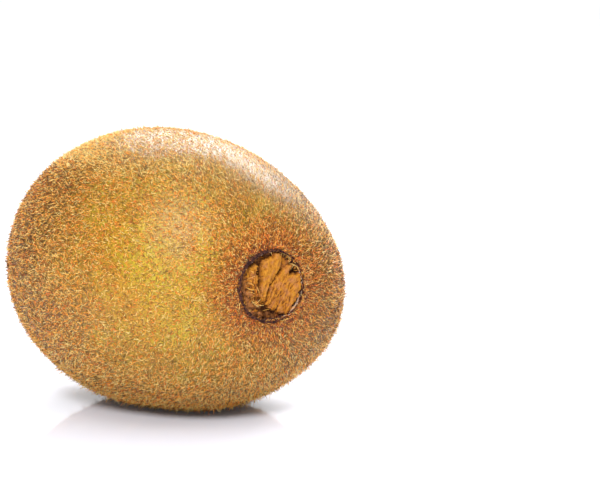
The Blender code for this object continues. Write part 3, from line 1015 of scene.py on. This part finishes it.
def hair_headings(rng, place, across, up, far, close):
    """How far each hair leans from the skin, and its heading there from down the fruit to sideways. Most
    lean by 60 to 86 degrees and one in seven by 26 to 54. At least half are combed towards the blossom end
    with a swirl of noise, and the others head anywhere. Next to the scar's covered side most point over its
    ring."""
    count = len(place)
    upright = rng.random(count) < 0.15
    lean = np.where(upright, rng.uniform(*STANDING_LEAN, count), rng.uniform(*LYING_LEAN, count))
    combed = rng.random(count) < 0.5 + 0.2 * far + 0.1 * close
    x, y, z = place.T
    swirl = lattice_noise(260.0 * (x + 0.7 * z), 260.0 * (y - 0.7 * z), 44)
    swirl = 1.5 * (swirl - 0.5) + rng.normal(0.0, 0.6 - 0.2 * far, count)
    heading = np.where(combed, swirl, rng.uniform(0.0, math.tau, count))
    covered = rng.random(count) < 0.75 - 0.75 * bare_side(across, up)
    over_ring = (np.hypot(across, up) < OVER_RING_RADIUS) & covered
    heading = np.where(over_ring, math.pi + rng.normal(0.0, 0.7, count), heading)
    return np.where(over_ring, rng.uniform(*HANGING_LEAN, count), lean), heading


def hair_shades(rng, middle, spread, height, far, close, worn_and_sheen):
    """Each hair's shade: a normal spread about the coat's middle. It is darker round the scar, paler below as
    painted light bounced from the floor, and paler on the crown and where it is worn as a painted sheen. A
    share of the hairs is dark, partly the hair's own dark strokes and partly painted shade, largest away from
    the cheek."""
    count = len(height)
    # Paler towards the floor: painted light bounced from the floor.
    low = smooth_step((LOW_HEIGHT - height) / LOW_DEPTH)
    # Paler on the crown: a painted sheen.
    sheen_crown = ramp(height, *SHEEN_CROWN_EDGE)
    shades = middle + spread * (1.0 + 0.5 * close) * rng.normal(0.0, 1.0, count)
    # Worn hair is paler: a painted sheen where the gloss falls.
    shades = shades - 0.19 * close + 0.08 * low + 0.10 * worn_and_sheen + 0.26 * sheen_crown * (1.0 - worn_and_sheen)
    # Dark hairs, most of them away from the cheek: painted shade where the fruit turns from the front light,
    # besides the hair's own dark strokes.
    share = 0.06 + 0.33 * far * (1.0 - sheen_crown) * (1.0 - low) * (1.0 - close) + 0.04 * close
    dark = rng.random(count) < share
    return np.clip(np.where(dark, rng.uniform(0.0, 0.14, count), shades), 0.02, 1.0)


def grow_coat(kiwi, coat, middle_length, radius, material):
    """One coat of hair. Each hair goes two steps from its root, and turns further over and sideways at its
    bend. Lengths are log-normal. Hair is shorter and redder round the scar, over a halo that is wider on
    the side away from the open one, and shorter and thinner where it is rubbed."""
    shape = kiwi.shape
    name, seed, middle_shade, spread = COATS[coat]
    rng = np.random.default_rng(seed)
    polar, around = scatter(kiwi, coat, rng)
    count = len(polar)
    place, normal, down, side = surface_frame(shape, polar, around)
    across, up = scar_place(shape, polar, around)
    laid_place = laid(shape, place)
    wider = HALO_WIDENING * (0.5 - 0.5 * np.cos(np.arctan2(up, across) - OPEN_SIDE))
    close = smooth_step((HALO_RADIUS + wider - np.hypot(across, up)) / (HALO_FADE + wider))
    # Rubbed hair is shorter and thinner, and paler as a painted sheen.
    worn_and_sheen = rubbed_and_sheen(kiwi, laid_place)
    far = ramp(from_cheek(kiwi, laid_place), *FAR_EDGE)
    lean, heading = hair_headings(rng, place, across, up, far, close)
    curl = rng.normal(0.0, 0.70, count)
    tuck = rng.uniform(-0.15, 0.30, count)
    ways = []
    for number in range(2):
        over = np.minimum(lean + number * tuck, MOST_LEAN)[:, None]
        towards = (heading + number * curl)[:, None]
        flat = unit(down * np.cos(towards) + side * np.sin(towards))
        ways.append(turned_in(shape, unit(normal * np.cos(over) + flat * np.sin(over))))
    lengths = middle_length * np.clip(rng.lognormal(0.0, 0.33, count), 0.45, 1.9)
    lengths = lengths * (1.0 - 0.20 * close - 0.10 * worn_and_sheen)
    radii = radius * rng.uniform(0.75, 1.25, count) * (1.0 - 0.30 * worn_and_sheen)
    shades = hair_shades(rng, middle_shade, spread, laid_place[:, 2], far, close, worn_and_sheen)
    root = laid(shape, place - radius * normal)
    add_hairs(name, root, ways, lengths, radii, shades, material)


def camera_axes(stage):
    """The camera's right, up and backward directions."""
    a, e = stage.azimuth, stage.elevation
    back = Vector((math.sin(a) * math.cos(e), -math.cos(a) * math.cos(e), math.sin(e)))
    right = Vector((math.cos(a), math.sin(a), 0.0))
    return right, back.cross(right), back


def add_camera(stage, middle):
    """The camera looks along its own axis and stands so that the fruit's middle falls on its place in the
    photograph: off the picture's centre by the pixels times the distance over the focal length in pixels."""
    right, up, back = camera_axes(stage)
    focal = stage.lens / stage.sensor * PHOTO_WIDTH
    across = (stage.picture_x - PHOTO_WIDTH / 2) / focal * stage.distance
    down = (stage.picture_y - PHOTO_HEIGHT / 2) / focal * stage.distance
    data = bpy.data.cameras.new("camera")
    data.lens = stage.lens
    data.sensor_width = stage.sensor
    data.clip_start = 0.01
    data.clip_end = 50.0
    camera = link("camera", data)
    place = middle + back * stage.distance - right * across + up * down
    camera.matrix_world = Matrix.Translation(place) @ Matrix((right, up, back)).transposed().to_4x4()
    bpy.context.scene.camera = camera


def add_lamp(name, kind, energy, place, away, **fields):
    """A lamp at a place that shines opposite to the direction away."""
    data = bpy.data.lights.new(name, kind)
    data.energy = energy
    for field, value in fields.items():
        setattr(data, field, value)
    lamp = link(name, data)
    lamp.location = place
    lamp.rotation_euler = away.to_track_quat("Z", "Y").to_euler()


# Each softbox: name, its power's setting, how far it stands to the camera's right, up and back from the
# fruit's middle, and its width and height.
SOFTBOXES = (
    ("key_softbox", "key_power", (-0.13, 0.43, 0.78), (0.30, 0.30)),
    ("strip_softbox", "strip_power", (0.145, 0.455, -0.49), (0.72, 0.06)),
)


def add_lights(stage, middle):
    """The softboxes, which face the fruit, and a wide distant lamp overhead, which whitens the floor."""
    right, up, back = camera_axes(stage)
    for name, power, offset, (width, height) in SOFTBOXES:
        place = middle + right * offset[0] + up * offset[1] + back * offset[2]
        size = {"shape": "RECTANGLE", "size": width, "size_y": height}
        add_lamp(name, "AREA", getattr(stage, power), place, place - middle, **size)
    overhead = 0.20 * right + 0.97 * up - 0.08 * back
    add_lamp("overhead_light", "SUN", stage.sun_strength, Vector(), overhead, angle=stage.sun_spread)


def add_floor(stage):
    """A glossy white floor with a faint haze of blue."""
    nodes = Nodes("studio_floor")
    haze = nodes.spread(nodes.noise(nodes.place(), 1.5, 2.0), 0.3, 0.7)
    nodes.finish(nodes.mix(haze, (0.84, 0.875, 0.98), (0.86, 0.895, 1.0)), 0.04, 0.5)
    nodes.shader.inputs["Emission Color"].default_value = (0.80, 0.85, 1.0, 1.0)
    nodes.shader.inputs["Emission Strength"].default_value = 0.02
    half = stage.floor_size / 2.0
    corners = [(-half, -half, 0.0), (half, -half, 0.0), (half, half, 0.0), (-half, half, 0.0)]
    mesh = bpy.data.meshes.new("studio_floor")
    mesh.from_pydata(corners, [], [(0, 1, 2, 3)])
    mesh.materials.append(nodes.material)
    link("studio_floor", mesh)


def add_surroundings(stage):
    """White surroundings that brighten behind the fruit, where the cosine of the angle to the camera's own
    direction goes from 0.65 to 0.95, as a lit backdrop does."""
    world = bpy.data.worlds.new("studio")
    world.use_nodes = True
    nodes, links = world.node_tree.nodes, world.node_tree.links
    sky = nodes["Background"]
    sky.inputs["Color"].default_value = (1.0, 1.0, 1.0, 1.0)
    direction = nodes.new("ShaderNodeTexCoord")
    facing = nodes.new("ShaderNodeVectorMath")
    facing.operation = "DOT_PRODUCT"
    facing.inputs[1].default_value = (-math.sin(stage.azimuth), math.cos(stage.azimuth), 0.0)
    strength = nodes.new("ShaderNodeMapRange")
    ends = {"From Min": 0.65, "From Max": 0.95, "To Min": stage.fill, "To Max": stage.backdrop}
    for key, value in ends.items():
        strength.inputs[key].default_value = value
    links.new(direction.outputs["Generated"], facing.inputs[0])
    links.new(facing.outputs["Value"], strength.inputs["Value"])
    links.new(strength.outputs["Result"], sky.inputs["Strength"])
    bpy.context.scene.world = world


class KIWI_OT_skin(bpy.types.Operator):
    """Adds the fruit's skin with its stalk scar"""

    bl_idname = "kiwi.skin"
    bl_label = "Skin"

    def execute(self, context):
        add_skin(context.scene.kiwi)
        return {"FINISHED"}


class KIWI_OT_stalk(bpy.types.Operator):
    """Adds the broken pieces of the stalk, the corky collar and the papery rim round them"""

    bl_idname = "kiwi.stalk"
    bl_label = "Stalk"

    def execute(self, context):
        kiwi = context.scene.kiwi
        add_stalk(kiwi)
        add_fibres(kiwi)
        add_collar(kiwi)
        add_rim(kiwi)
        return {"FINISHED"}


class KIWI_OT_blossom(bpy.types.Operator):
    """Adds the dry tip at the blossom end and the threads on it"""

    bl_idname = "kiwi.blossom"
    bl_label = "Blossom tip"

    def execute(self, context):
        kiwi = context.scene.kiwi
        add_blossom(kiwi)
        add_styles(kiwi)
        return {"FINISHED"}


class KIWI_OT_down(bpy.types.Operator):
    """Adds the four coats of hair"""

    bl_idname = "kiwi.down"
    bl_label = "Hair"

    def execute(self, context):
        look = context.scene.kiwi.down
        bristles = look.bristle_length, look.bristle_radius, hair_material("bristles", look)
        velvet = look.velvet_length, look.velvet_radius, hair_material("velvet", look)
        for coat, sizes in enumerate((bristles, bristles, bristles, velvet)):
            grow_coat(context.scene.kiwi, coat, *sizes)
        return {"FINISHED"}


class KIWI_OT_stage(bpy.types.Operator):
    """Adds the camera, the floor and the lights"""

    bl_idname = "kiwi.stage"
    bl_label = "Stage"

    def execute(self, context):
        stage = context.scene.kiwi.stage
        middle = Vector(context.scene.kiwi.shape.middle)
        add_camera(stage, middle)
        add_floor(stage)
        add_surroundings(stage)
        add_lights(stage, middle)
        context.scene.view_settings.view_transform = "Standard"
        return {"FINISHED"}


class KiwiSettings(bpy.types.PropertyGroup):
    """Everything that a user would change."""

    shape: PointerProperty(type=FruitShape)
    skin: PointerProperty(type=SkinLook)
    stalk: PointerProperty(type=StalkLook)
    down: PointerProperty(type=DownLook)
    stage: PointerProperty(type=StageSettings)


PANEL_ROWS = (
    ("shape", "kiwi.blossom"),
    ("skin", "kiwi.skin"),
    ("stalk", "kiwi.stalk"),
    ("down", "kiwi.down"),
    ("stage", "kiwi.stage"),
)


class KIWI_PT_panel(bpy.types.Panel):
    """Lists the sizes and colours, with the button that builds the pieces they belong to"""

    bl_idname = "KIWI_PT_panel"
    bl_label = "Kiwi Fruit"
    bl_space_type = "VIEW_3D"
    bl_region_type = "UI"
    bl_category = "Kiwi"

    def draw(self, context):
        for part, operator in PANEL_ROWS:
            box = self.layout.box()
            group = getattr(context.scene.kiwi, part)
            for key in group.bl_rna.properties.keys():
                if key not in ("rna_type", "name"):
                    box.prop(group, key)
            box.operator(operator)


GROUPS = (FruitShape, SkinLook, StalkLook, DownLook, StageSettings, KiwiSettings)
OPERATORS = (KIWI_OT_skin, KIWI_OT_stalk, KIWI_OT_blossom, KIWI_OT_down, KIWI_OT_stage)
CLASSES = (*GROUPS, *OPERATORS, KIWI_PT_panel)


def register():
    """Adds the classes and the scene's settings."""
    for cls in CLASSES:
        bpy.utils.register_class(cls)
    bpy.types.Scene.kiwi = PointerProperty(type=KiwiSettings)


def unregister():
    """Takes the settings and the classes out again."""
    del bpy.types.Scene.kiwi
    for cls in reversed(CLASSES):
        bpy.utils.unregister_class(cls)


def main():
    """Builds every piece and the stage."""
    register()
    bpy.ops.kiwi.skin()
    bpy.ops.kiwi.stalk()
    bpy.ops.kiwi.blossom()
    bpy.ops.kiwi.down()
    bpy.ops.kiwi.stage()


if __name__ == "__main__":
    main()
